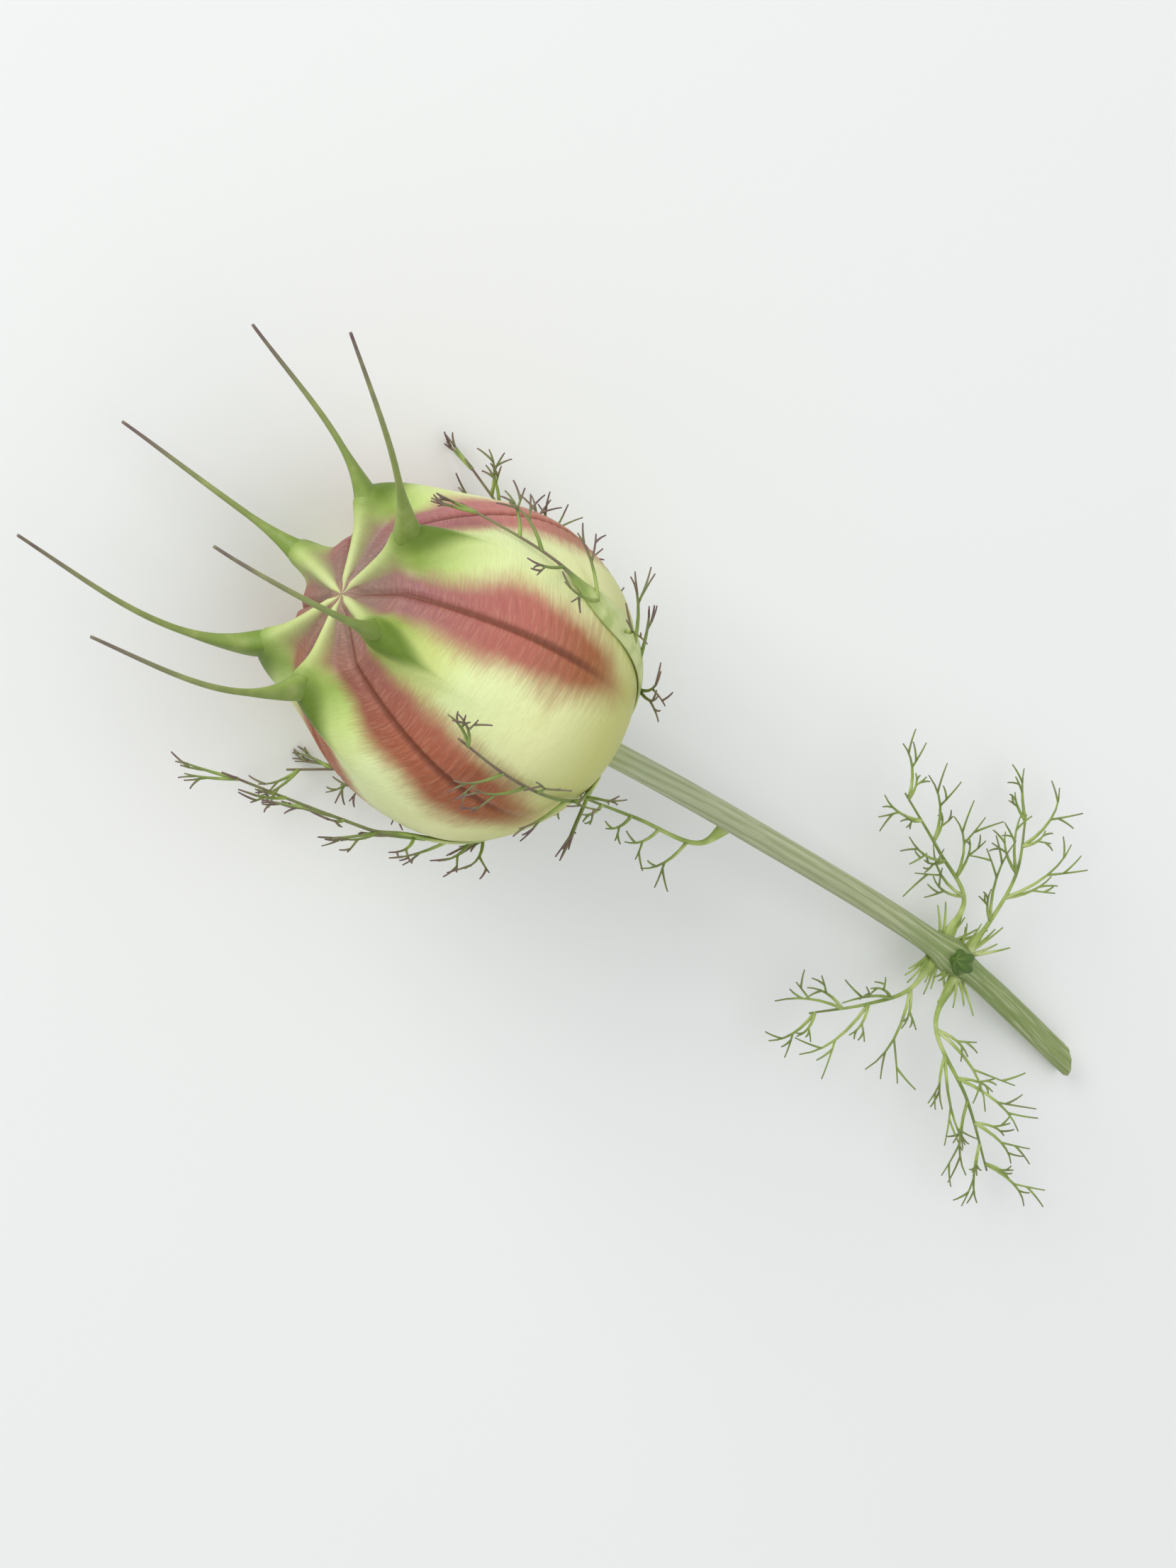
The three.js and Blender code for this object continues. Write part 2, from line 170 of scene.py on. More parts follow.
class Finish:
    """A material's node tree, with a method for each kind of node that the finishes below need."""

    def __init__(self, name, roughness, subsurface=0.0):
        self.material = bpy.data.materials.new(name)
        self.material.use_nodes = True
        self.tree = self.material.node_tree
        self.shader = self.tree.nodes["Principled BSDF"]
        self.shader.inputs["Roughness"].default_value = roughness
        self.shader.inputs["Specular IOR Level"].default_value = 0.35
        self.shader.inputs["Subsurface Weight"].default_value = subsurface
        self.shader.inputs["Subsurface Radius"].default_value = (1.0, 0.8, 0.35)
        self.shader.inputs["Subsurface Scale"].default_value = 0.0012
        self.place = self.add("TexCoord", {}).outputs["Object"]

    def add(self, kind, inputs, **settings):
        """A node whose sockets, by name or number, get a value or a link."""
        made = self.tree.nodes.new("ShaderNode" + kind)
        for key, value in settings.items():
            setattr(made, key, value)
        for key, value in inputs.items():
            if isinstance(value, bpy.types.NodeSocket):
                self.tree.links.new(value, made.inputs[key])
            else:
                made.inputs[key].default_value = value
        return made

    def attribute(self, name):
        """A number that the mesh carries."""
        return self.add("Attribute", {}, attribute_name=name).outputs["Fac"]

    def maths(self, operation, first, second=0.0):
        """One sum, difference, product or the like."""
        return self.add("Math", {0: first, 1: second}, operation=operation).outputs[0]

    def span(self, value, start, end, low=0.0, high=1.0):
        """low before start, high after end, and a smooth step between."""
        sockets = {"Value": value, 1: start, 2: end, 3: low, 4: high}
        return self.add("MapRange", sockets, interpolation_type="SMOOTHSTEP").outputs[0]

    def noise(self, scale, detail=3.0, vector=None):
        """Cloudy numbers from 0 to 1, by place on the object unless another vector is given."""
        sockets = {"Vector": vector or self.place, "Scale": scale, "Detail": detail}
        return self.add("TexNoise", sockets).outputs["Fac"]

    def vector(self, x, y, z=0.0):
        """Three numbers as one vector."""
        return self.add("CombineXYZ", {0: x, 1: y, 2: z}).outputs[0]

    def ramp(self, value, stops):
        """Colours, or single numbers, at stops along 0 to 1."""
        made = self.add("ValToRGB", {0: value})
        elements = made.color_ramp.elements
        elements.remove(elements[-1])
        for index, (position, colour) in enumerate(stops):
            element = elements[0] if index == 0 else elements.new(position)
            element.position = position
            element.color = colour if isinstance(colour, tuple) else (colour, colour, colour, 1.0)
        return made.outputs[0]

    def mixed(self, share, first, second, blend="MIX"):
        """The first colour at share 0, and the second at share 1."""
        made = self.add("Mix", {0: share, 6: first, 7: second}, data_type="RGBA", blend_type=blend)
        return made.outputs[2]

    def colour(self, socket):
        """What the surface's colour is read from."""
        self.tree.links.new(socket, self.shader.inputs["Base Color"])

    def rough(self, socket):
        """What the surface's roughness is read from."""
        self.tree.links.new(socket, self.shader.inputs["Roughness"])

    def bump(self, height, depth):
        """Fine relief of that depth in metres, for what is too small to be in the mesh."""
        made = self.add("Bump", {"Height": height, "Distance": depth, "Strength": 1.0})
        self.tree.links.new(made.outputs[0], self.shader.inputs["Normal"])


print("finish helpers ready")

# %% [markdown]
# ## The capsule's shape
# The lower half is a plain bowl. Towards the crown each carpel's back swells out and up into an arm that
# runs to the centre of a star, and each seam between two carpels sinks into a valley. A ball could be
# sculpted into this, but a formula keeps all six carpels alike: the polar angle s runs from the stem, 0,
# to the star's centre, pi, and a power of a cosine wave in the azimuth phi says how near a point is to a
# carpel's back.

# %% The capsule as a function of two angles
CARPELS = 6
FIRST_CARPEL = np.radians(-9)  # azimuth of the first carpel's back, counted from the upper side
CROWN_LENGTH = 15.2  # from the widest girth up, before the carpels' tips shape it
RIM_ANGLE = np.radians(148)  # polar angle of the rim that the horns stand on
LOBE_START = np.radians(100)
LOBE_SHARE = 0.12  # how far a carpel's back stands out at the rim, as a share of the radius
GIRTH_LOBE_SHARE = 0.015
BACK_RISE = 2.6
SEAM_RISE = 0.5
ARM_SHARPNESS = 5.0  # power that narrows a carpel's back to an arm
CROWN_CENTRE = 14.3  # height of the star's centre above the widest girth
ARM_BOW = 1.2  # powers of the way in from the rim to the star's centre
SEAM_BOW = 1.3
DIMPLE_DEPTH = 0.6
DIMPLE_RADIUS = 1.8


def capsule_skin(s, phi):
    """A ball whose radius and height swell along the carpels' backs and sink along the seams, more so from
    the girth to the rim. Past the rim, height runs on to the star's centre as a power of the way in."""
    wave = (1 + np.cos(CARPELS * (phi - FIRST_CARPEL))) / 2
    side = np.minimum(s, RIM_ANGLE)
    inward = np.clip((np.pi - s) / (np.pi - RIM_ANGLE), 0, 1)
    lobing = ease(side, LOBE_START, RIM_ANGLE)
    back = wave ** mix(1, ARM_SHARPNESS, lobing)
    lobe = (back - 0.5) * (lobing * LOBE_SHARE + GIRTH_LOBE_SHARE * np.sin(side) ** 2)
    r = CAPSULE_RADIUS * np.sin(side) * (1 + lobe) * inward
    rim = -np.cos(side) * (CROWN_LENGTH + lobing * mix(SEAM_RISE, BACK_RISE, back))
    upper = CROWN_CENTRE + (rim - CROWN_CENTRE) * inward ** mix(SEAM_BOW, ARM_BOW, back)
    lower = -BASE_LENGTH * np.cos(side) + DIMPLE_DEPTH * np.exp(-((r / DIMPLE_RADIUS) ** 2))
    height = np.where(side > np.pi / 2, upper, lower)
    return np.stack([r * np.sin(phi), height, r * np.cos(phi)], axis=-1)


print("star centre", capsule_skin(np.pi, 0.0).round(2))
print("rim", capsule_skin(RIM_ANGLE, FIRST_CARPEL).round(2))

# %% [markdown]
# ## Fine relief on the skin
# A fresh capsule is thin and taut, so it shows a sharp crease along each seam, a keel on each arm, a
# wedge below each horn, small ribs where veins cross the stripes, and soft dents. All of that is real
# shape, so it goes into the mesh: each point moves along the skin's own direction by a sum of small
# terms.

# %% Knit the capsule
AROUND = 372
ALONG = 240
CREASE_DEPTH = 0.38
CREASE_WIDTH = 0.34
KEEL_HEIGHT = 0.25
KEEL_WIDTH = 0.6
WEDGE_HEIGHT = 0.6
WEDGE_WIDTH = 1.15
WEDGE_TAIL = np.radians(17)  # it runs out this far down the carpel's back
WEDGE_HEAD = np.radians(8)
FILLET_HEIGHT = 0.25  # the skin climbs up a horn's root
FILLET_RADIUS = 1.7
VEIN_HEIGHT = 0.03
VEIN_SPACING = 0.85
DENT_DEPTH = 0.14
PURPLE_SIDE = np.radians(80)  # the stripes are most purple here

s, phi = np.meshgrid(
    np.linspace(0, np.pi, ALONG + 2)[1:-1],
    FIRST_CARPEL + np.linspace(0, 2 * np.pi, AROUND, endpoint=False),
    indexing="ij",
)
smooth_skin = capsule_skin(s, phi)
step_down = np.gradient(smooth_skin, axis=0)
step_round = np.roll(smooth_skin, -1, axis=1) - np.roll(smooth_skin, 1, axis=1)
outward = unit(np.cross(step_round, step_down))

turn = CARPELS * (phi - FIRST_CARPEL) / (2 * np.pi)
from_back = np.abs(turn - np.round(turn))  # 0 on a carpel's back, 0.5 on a seam
radius = np.hypot(smooth_skin[..., 0], smooth_skin[..., 2])
spacing = 2 * np.pi * radius / CARPELS
crease = np.exp(-(((0.5 - from_back) * spacing / CREASE_WIDTH) ** 2))
crease *= ease(s, np.radians(50), np.radians(115)) * ease(radius, 0.8, 2.5)
keel = np.exp(-((from_back * spacing / KEEL_WIDTH) ** 2)) * ease(s, np.radians(120), RIM_ANGLE)
keel *= ease(radius, 0.4, 1.5)
from_horn = s - RIM_ANGLE + np.radians(5)
wedge = np.exp(-((from_horn / np.where(from_horn < 0, WEDGE_TAIL, WEDGE_HEAD)) ** 2))
wedge *= np.exp(-((from_back * spacing / (WEDGE_WIDTH * mix(0.4, 1, wedge))) ** 2))
fillet = np.exp(-((from_back * spacing) ** 2 + ((s - RIM_ANGLE) * CAPSULE_RADIUS) ** 2) / FILLET_RADIUS**2)
bow = 3.0 * from_back**2 + 0.4 * np.sin(5 * phi)
veins = np.sin(2 * np.pi * (s * CAPSULE_RADIUS / VEIN_SPACING + bow + 0.3 * np.sin(9 * s + 7 * phi)))
veins *= ease(from_back, 0.12, 0.3) * ease(s, np.radians(45), np.radians(80))
veins *= ease(s, RIM_ANGLE, LOBE_START)
dents = np.sin(2.3 * s + 1) * np.sin(3 * phi + 0.6) + 0.6 * np.sin(5.1 * s) * np.sin(7 * phi + 2 * s)
dents *= np.sin(s) ** 2
relief = KEEL_HEIGHT * keel + WEDGE_HEIGHT * wedge + FILLET_HEIGHT * fillet
relief += VEIN_HEIGHT * veins + DENT_DEPTH * dents - CREASE_DEPTH * crease
skin = laid_down(smooth_skin + outward * relief[..., None])
skin[..., 2] = np.maximum(skin[..., 2], 0)
poles = laid_down(capsule_skin(np.array([0.0, np.pi]), np.zeros(2)))
skin_values = {
    "along": s[None] / np.pi,
    "seam": 2 * from_back[None],
    "purple": (1 + np.cos(phi - PURPLE_SIDE))[None] / 2,
}
print(f"capsule {2 * radius.max():.1f} mm wide")

# %% [markdown]
# ## The finish of the skin
# The carpels' backs are pale yellow-green bands that turn olive at the base and bright green at the
# horns, with a dark green wedge under each horn's root that is partly the root's own green and partly
# painted shade. Along each seam runs a red-brown stripe with a dark line down its middle, partly the
# seam's own line and partly painted shade of the crease. The stripe's edge isn't a line: fine veins cross
# it, so the colour frays out in short hairs. The stripe's mask is therefore the distance from the seam
# plus noise that is stretched across the stripe.

# %% Paint the skin
skin_paint = Finish("capsule_skin", 0.5, 0.12)
along = skin_paint.attribute("along")
seam = skin_paint.attribute("seam")
purple = skin_paint.attribute("purple")
cloud = skin_paint.noise(160.0, 3.0)
grain = skin_paint.noise(1500.0, 4.0)
across_stripe = skin_paint.maths("MULTIPLY", seam, 5.0)
along_stripe = skin_paint.maths("ADD", skin_paint.maths("MULTIPLY", along, 300.0), across_stripe)
hairs = skin_paint.noise(1.0, 3.0, skin_paint.vector(across_stripe, along_stripe, purple))
band = skin_paint.ramp(along, [
    (0.00, paint(158, 160, 90)),
    (0.12, paint(178, 178, 100)),
    (0.34, paint(194, 195, 116)),
    (0.50, paint(224, 225, 164)),
    (0.66, paint(216, 226, 166)),
    (0.74, paint(188, 206, 124)),
    (0.80, paint(146, 172, 78)),
    (0.83, paint(158, 176, 98)),
    (0.87, paint(170, 182, 114)),
    (1.00, paint(190, 197, 140)),
])
band = skin_paint.mixed(skin_paint.span(cloud, 0.45, 0.75, 0.0, 0.45), band, paint(196, 196, 110))
# Dark green on the wedge below each horn: partly the root's own green, partly painted shade under the
# horn's root.
wedge_edge = skin_paint.maths("SUBTRACT", seam, skin_paint.span(along, 0.67, 0.80, -0.1, 0.15))
horn_root_green_and_shade = skin_paint.maths("MULTIPLY", skin_paint.span(wedge_edge, -0.08, 0.12, 1.0, 0.0),
                             skin_paint.span(along, 0.80, 0.85, 1.0, 0.0))
band = skin_paint.mixed(horn_root_green_and_shade, band, paint(94, 118, 32))
edge = skin_paint.ramp(along, [
    (0.26, 1.00),
    (0.38, 0.76),
    (0.52, 0.48),
    (0.66, 0.42),
    (0.76, 0.50),
    (0.82, 0.42),
    (0.85, 0.22),
    (1.00, 0.26),
])
fray = skin_paint.maths("ADD", skin_paint.span(hairs, 0.25, 0.75, -0.045, 0.045),
                        skin_paint.span(cloud, 0.2, 0.8, -0.12, 0.12))
fray = skin_paint.maths("MULTIPLY", fray, skin_paint.span(along, 0.78, 0.86, 1.0, 0.4))
frayed = skin_paint.maths("ADD", seam, fray)
stripe = skin_paint.span(skin_paint.maths("SUBTRACT", frayed, edge), -0.22, 0.26)
stripe = skin_paint.maths("MULTIPLY", stripe, skin_paint.span(along, 0.24, 0.46))
red = skin_paint.ramp(along, [
    (0.30, paint(156, 120, 58)),
    (0.48, paint(142, 74, 24)),
    (0.66, paint(148, 76, 34)),
    (0.80, paint(134, 80, 62)),
    (0.90, paint(124, 94, 80)),
    (1.00, paint(142, 118, 96)),
])
rose = skin_paint.ramp(along, [
    (0.30, paint(158, 118, 58)),
    (0.48, paint(158, 94, 54)),
    (0.60, paint(178, 104, 94)),
    (0.70, paint(164, 98, 96)),
    (0.80, paint(140, 88, 92)),
    (0.90, paint(124, 96, 90)),
    (1.00, paint(142, 118, 102)),
])
stripe_colour = skin_paint.mixed(purple, red, rose)
pale_hairs = skin_paint.span(hairs, 0.4, 0.75, 0.0, 0.28)
stripe_colour = skin_paint.mixed(pale_hairs, stripe_colour, paint(194, 148, 118))
coloured = skin_paint.mixed(stripe, band, stripe_colour)
# The dark line down each seam is partly the seam's own line and partly painted shade of the crease.
line = skin_paint.maths("MULTIPLY", skin_paint.span(seam, 0.92, 0.99),
                        skin_paint.span(along, 0.36, 0.52, 0.0, 0.8))
coloured = skin_paint.mixed(line, coloured, paint(104, 52, 28))
skin_paint.colour(coloured)
skin_paint.rough(skin_paint.span(grain, 0.2, 0.8, 0.42, 0.58))
skin_paint.bump(skin_paint.maths("ADD", skin_paint.maths("MULTIPLY", hairs, 0.5), grain), 0.00006)
add_piece("capsule_skin", [(skin[None], poles[:1], poles[1:], skin_values)],
          skin_paint.material, "capsule")

# %% [markdown]
# ## Smooth paths
# Horns, stem and leaves follow smooth curves through a few points. The curve used here passes through
# every point and takes the distances between them into account, so it doesn't loop where they are uneven.
# It is then sampled at even steps of length, so that rings on it are evenly spaced.

# %% A smooth path through points
def smooth_path(points, steps):
    """A cubic between each two points, with slopes from the neighbours weighed by the square root of the
    distances, sampled at even lengths."""
    points = np.asarray(points, float)
    padded = np.concatenate([[2 * points[0] - points[1]], points, [2 * points[-1] - points[-2]]])
    gaps = np.sqrt(np.linalg.norm(np.diff(padded, axis=0), axis=1))[:, None]
    slopes = np.diff(padded, axis=0) / gaps
    wide = (padded[2:] - padded[:-2]) / (gaps[1:] + gaps[:-1])
    tangents = slopes[:-1] - wide + slopes[1:]
    t = np.linspace(0, 1, 24, endpoint=False)[None, :, None]
    a, b = points[:-1, None], points[1:, None]
    m, n = tangents[:-1, None] * gaps[1:-1, None], tangents[1:, None] * gaps[1:-1, None]
    cubic = (2 * t**3 - 3 * t**2 + 1) * a + (t**3 - 2 * t**2 + t) * m
    cubic += (3 * t**2 - 2 * t**3) * b + (t**3 - t**2) * n
    dense = np.concatenate([cubic.reshape(-1, 3), points[-1:]])
    run = np.concatenate([[0], np.cumsum(np.linalg.norm(np.diff(dense, axis=0), axis=1))])
    even = np.linspace(0, run[-1], steps + 1)
    return np.stack([np.interp(even, run, dense[:, k]) for k in range(3)], axis=-1)


def along_path(path, share):
    """Points and unit tangents at shares of a sampled path's length."""
    at = np.asarray(share) * (len(path) - 1)
    index = np.arange(len(path))
    slope = np.gradient(path, axis=0)
    point = np.stack([np.interp(at, index, path[:, k]) for k in range(3)], axis=-1)
    tangent = np.stack([np.interp(at, index, slope[:, k]) for k in range(3)], axis=-1)
    return point, unit(tangent)


def rings_along(path, facing, angle, wide, deep):
    """Ellipses round a path: deep along the part of facing that is square to the path, wide across it."""
    tangent = unit(np.gradient(path, axis=0))
    normal = unit(facing - np.sum(facing * tangent, axis=-1, keepdims=True) * tangent)
    across = np.cross(tangent, normal)
    ring = deep[..., None] * np.cos(angle)[..., None] * normal[:, None]
    ring = ring + wide[..., None] * np.sin(angle)[..., None] * across[:, None]
    return path[:, None] + ring


print("path helpers ready")

# %% [markdown]
# ## The horns
# Each carpel ends in a style that has dried to a horn. Its root is broad and keeled like a small fin and
# grows out of the arm of the star; within a few millimetres it thins to a thread that bends from outwards
# to upwards. The path is the running sum of short steps whose lean falls off, and the root is an ellipse
# with a ridge on its outer side.

# %% Shape the horns
HORN_LENGTHS = [18.6, 23.4, 18.5, 19.0, 25.5, 22.0]
HORN_LEANS = np.radians([-9, 32, 19, 16, -8, 4])
HORN_ROOT_LEAN = np.radians(52)
HORN_BEND = 3
HORN_STEPS = 9
HORN_SUNK = 1.3
HORN_DEEPER = 1.4  # how much further in the fin starts, so that it grows out of the skin
HORN_ROOT_DEPTH = 3.4
HORN_ROOT_WIDTH = 1.9
HORN_NECK_RADIUS = 0.36
HORN_TIP_RADIUS = 0.13
HORN_NECK = 0.4
HORN_SWELL = 0.16  # share of the length over which the root swells
HORN_BURIED_SHARE = 0.3  # thickness at the buried start, as a share of the full root
HORN_INNER_SHARE = 0.3  # depth of the fin towards the crown, as a share of its outer depth
HORN_SWAY = 0.7  # how far a tip bends sideways at most
HORN_RINGS = 90
HORN_SIDES = 24


def horn(index):
    """Rings round the summed path, with a root that falls off as a square of the way to the neck."""
    azimuth = FIRST_CARPEL + index * 2 * np.pi / CARPELS
    outward = np.array([np.sin(azimuth), 0.0, np.cos(azimuth)])
    upward = np.array([0.0, 1.0, 0.0])
    root_way = np.sin(HORN_ROOT_LEAN) * outward + np.cos(HORN_ROOT_LEAN) * upward
    start = capsule_skin(RIM_ANGLE, azimuth) - HORN_SUNK * root_way
    lean = mix(HORN_LEANS[index], HORN_ROOT_LEAN, (1 - np.arange(HORN_STEPS) / HORN_STEPS) ** HORN_BEND)
    steps = np.sin(lean)[:, None] * outward + np.cos(lean)[:, None] * upward
    knots = start + np.cumsum(steps, axis=0) * HORN_LENGTHS[index] / HORN_STEPS
    knots = np.concatenate([[start - HORN_DEEPER * root_way, start], knots])
    path = smooth_path(knots, HORN_RINGS - 1)
    share = np.linspace(0, 1, HORN_RINGS)[:, None]
    sideways = np.cross(outward, upward)
    path = path + sideways * HORN_SWAY * share**2 * np.sin(2.5 * share + 1.9 * index)
    angle = np.broadcast_to(np.linspace(0, 2 * np.pi, HORN_SIDES, endpoint=False), (HORN_RINGS, HORN_SIDES))
    root = (1 - np.minimum(share / HORN_NECK, 1)) ** 2
    neck = mix(HORN_NECK_RADIUS, HORN_TIP_RADIUS, share)
    swell = mix(HORN_BURIED_SHARE, 1, ease(share, 0, HORN_SWELL))
    outer = mix(HORN_INNER_SHARE, 1, ease(np.cos(angle), -0.5, 1))
    deep = (neck + (HORN_ROOT_DEPTH - HORN_NECK_RADIUS) * root * outer) * swell
    wide = np.broadcast_to((neck + (HORN_ROOT_WIDTH - HORN_NECK_RADIUS) * root) * swell, angle.shape)
    rings = laid_down(rings_along(path, outward, angle, wide, deep))
    return rings, np.broadcast_to(share, angle.shape)


horns = [horn(k) for k in range(CARPELS)]
horn_rings = np.stack([rings for rings, _ in horns])
horn_shares = np.stack([share for _, share in horns])
horn_ends = horn_rings.mean(axis=2)
print(f"horns reach {-horn_rings[..., 0].min():.1f} mm past the resting spot")

# %% [markdown]
# ## The finish of the horns
# The root is the brightest green on the pod, the thread is olive, and the tip has dried to a purple grey.

# %% Paint the horns
horn_paint = Finish("horn_green", 0.5, 0.05)
tip = horn_paint.attribute("tip")
patch = horn_paint.noise(500.0, 3.0)
horn_colour = horn_paint.ramp(tip, [
    (0.00, paint(140, 164, 72)),
    (0.12, paint(106, 132, 44)),
    (0.24, paint(120, 140, 64)),
    (0.60, paint(130, 138, 84)),
    (0.85, paint(118, 108, 92)),
    (1.00, paint(104, 84, 88)),
])
pale_patch = horn_paint.span(patch, 0.4, 0.8, 0.0, 0.5)
horn_colour = horn_paint.mixed(pale_patch, horn_colour, paint(164, 172, 104))
horn_paint.colour(horn_colour)
horn_paint.bump(patch, 0.00005)
add_piece("horns", [(horn_rings, horn_ends[:, 0], horn_ends[:, -1], {"tip": horn_shares})],
          horn_paint.material, "capsule")

# %% [markdown]
# ## The stem
# The stem is ribbed along its length, swells a little under the pod and at the leafy joint, turns there,
# and ends in a slanted cut with pale pith. It is one tube: the ribs are waves in its radius, its last
# rings lean over into the cut, and a few more close in on the centre.

# %% Shape the stem
STEM_TOP_GAP = 0.1  # between the stem's top and the dimple
STEM_TOP_SWELL = 0.25
STEM_BOW = 0.5
STEM_BOW_AT = 0.4  # share of the way to the leafy joint where it bows most
NODE_AT = 46.0
NODE_SWELL = 0.55
NODE_SPREAD = 1.8
NODE_TURN = np.radians(-9)
CUT_SLANT = 1.1
CUT_RUN = 3.0  # the rings lean over this length until the last one lies in the cut
CUT_RINGS = np.array([0.96, 0.86, 0.7, 0.45, 0.2])  # rings on the cut face, as shares of its rim
CUT_HOLLOW = np.array([-0.04, -0.02, 0.06, 0.16, 0.2])  # how far each of them is sunk
STEM_RINGS = 420
STEM_SIDES = 72
STEM_RIBS = 9
RIB_DEPTH = 0.035  # as a share of the radius, to each side of the mean
FINE_RIBS = 23
FINE_RIB_DEPTH = 0.012
STEM_TWIST = 0.5  # in radians, to and fro along the stem

stem_top = laid_down(np.array([0.0, -BASE_LENGTH + DIMPLE_DEPTH - STEM_TOP_GAP, 0.0]))
down = -TO_CROWN
turned = np.array([down[0] * np.cos(NODE_TURN), down[0] * np.sin(NODE_TURN), down[2]])
node_point = stem_top + down * NODE_AT
stem_path = smooth_path([
    stem_top,
    stem_top + down * NODE_AT * STEM_BOW_AT + TO_SIDE * STEM_BOW,
    node_point,
    node_point + turned * (STEM_LENGTH - NODE_AT),
], STEM_RINGS - 1)


def stem_radius(distance):
    """The plain radius plus two bell curves: under the pod and at the joint."""
    top = STEM_TOP_SWELL * np.exp(-((distance / 2) ** 2))
    joint = NODE_SWELL * np.exp(-(((distance - NODE_AT) / NODE_SPREAD) ** 2))
    return STEM_RADIUS + top + joint


share = np.linspace(0, 1, STEM_RINGS)[:, None]
angle = np.broadcast_to(np.linspace(0, 2 * np.pi, STEM_SIDES, endpoint=False), (STEM_RINGS, STEM_SIDES))
twist = angle + STEM_TWIST * np.sin(4 * share)
ribs = RIB_DEPTH * (np.cos(STEM_RIBS * twist) - 1) + FINE_RIB_DEPTH * np.cos(FINE_RIBS * twist + 9 * share)
wide = stem_radius(share * STEM_LENGTH) * (1 + ribs)
stem_rings = rings_along(stem_path, np.array([0.0, 0.0, 1.0]), angle, wide, wide)
stem_end = unit(stem_path[-1] - stem_path[-2])
slant = CUT_SLANT * np.sin(angle) * ease(share * STEM_LENGTH, STEM_LENGTH - CUT_RUN, STEM_LENGTH)
stem_rings += slant[..., None] * stem_end
stem_rings[..., 2] = np.maximum(stem_rings[..., 2], 0)
face_centre = stem_rings[-1].mean(axis=0)
cut_face = face_centre + (stem_rings[-1] - face_centre) * CUT_RINGS[:, None, None]
cut_face -= stem_end * CUT_HOLLOW[:, None, None]
stem_rings = np.concatenate([stem_rings, cut_face])
stem_around = np.concatenate([twist, np.repeat(twist[-1:], len(CUT_RINGS), axis=0)])
stem_length = np.concatenate([np.broadcast_to(share, angle.shape), np.ones_like(cut_face[..., 0])])
cut_pith = np.broadcast_to(1 - CUT_RINGS[:, None], cut_face.shape[:2])
stem_pith = np.concatenate([np.zeros_like(angle), cut_pith])
print(f"stem {STEM_LENGTH:.0f} mm long, lowest point {stem_rings[..., 2].min():.2f} mm")

# %% [markdown]
# ## The bud at the joint
# A small bud sits on the upper side of the leafy joint and points up the stem, wrapped in folded leaf
# tips. It is an egg with a pointed end: the folds are waves round it that twist a little on their way to
# the tip.

# %% Shape the bud
BUD_RADIUS = 1.1
BUD_LENGTH = 3.0
BUD_LIFT = 1.9  # height of its middle above the stem's
BUD_LEAN = np.radians(30)  # how far it points up from the stem
BUD_FOLDS = 5
BUD_FOLD_DEPTH = 0.12  # as a share of the radius
BUD_TWIST = 3.0  # how far the folds turn from end to end, in radians of their wave
BUD_RINGS = 40
BUD_SIDES = 60

bud_way = np.array([-np.cos(LEAN + BUD_LEAN), 0.0, np.sin(LEAN + BUD_LEAN)])
bud_share, bud_angle = np.meshgrid(
    np.linspace(0, 1, BUD_RINGS + 2)[1:-1],
    np.linspace(0, 2 * np.pi, BUD_SIDES, endpoint=False),
    indexing="ij",
)
bud_fold = np.cos(BUD_FOLDS * bud_angle + BUD_TWIST * bud_share)
bud_width = BUD_RADIUS * np.sin(np.pi * bud_share**0.75) * (1 + BUD_FOLD_DEPTH * bud_fold)
bud_middle = node_point + np.array([0.0, 0.0, BUD_LIFT])
bud_path = bud_middle + (bud_share[:, :1] - 0.5) * BUD_LENGTH * bud_way
bud_rings = rings_along(bud_path, np.array([0.0, 0.0, 1.0]), bud_angle, bud_width, bud_width)
bud_ends = bud_middle + np.array([[-0.5], [0.5]]) * BUD_LENGTH * bud_way
print(f"bud {BUD_LENGTH:.1f} mm long, top {bud_rings[..., 2].max():.1f} mm above the surface")

# %% [markdown]
# ## The finish of the stem
# Ribs are pale and grooves are greener, with streaks that run along the stem, and the bud is dark green.
# Noise that is stretched far along the length gives the streaks. It reads the way round the stem as a
# cosine and a sine, because an angle would jump where the tube closes and leave a line there.

# %% Paint the stem
stem_paint = Finish("stem_green", 0.55, 0.05)
round_x = stem_paint.maths("MULTIPLY", stem_paint.attribute("round_x"), 3.5)
round_y = stem_paint.maths("MULTIPLY", stem_paint.attribute("round_y"), 3.5)
rib = stem_paint.attribute("rib")
length = stem_paint.attribute("length")
pith = stem_paint.attribute("pith")
bud = stem_paint.attribute("bud")
stretched = stem_paint.vector(round_x, round_y, stem_paint.maths("MULTIPLY", length, 9.0))
streaks = stem_paint.noise(1.6, 4.0, stretched)
stem_colour = stem_paint.ramp(length, [
    (0.00, paint(170, 178, 120)),
    (0.10, paint(172, 178, 144)),
    (0.55, paint(164, 170, 130)),
    (0.72, paint(128, 146, 84)),
    (1.00, paint(136, 150, 92)),
])
groove = stem_paint.span(rib, -0.9, 0.6, 0.42, 0.0)
stem_colour = stem_paint.mixed(groove, stem_colour, paint(118, 134, 74))
pale_streaks = stem_paint.span(streaks, 0.45, 0.7, 0.0, 0.6)
stem_colour = stem_paint.mixed(pale_streaks, stem_colour, paint(190, 194, 158))
stem_colour = stem_paint.mixed(stem_paint.span(pith, 0.02, 0.2), stem_colour, paint(214, 218, 178))
bud_colour = stem_paint.ramp(bud, [
    (0.00, paint(150, 168, 96)),
    (0.45, paint(72, 98, 38)),
    (0.80, paint(84, 112, 44)),
    (1.00, paint(128, 146, 78)),
])
stem_colour = stem_paint.mixed(stem_paint.span(bud, 0.0, 0.05), stem_colour, bud_colour)
stem_paint.colour(stem_colour)
stem_paint.bump(streaks, 0.00005)
plain = np.zeros_like(bud_angle[None])
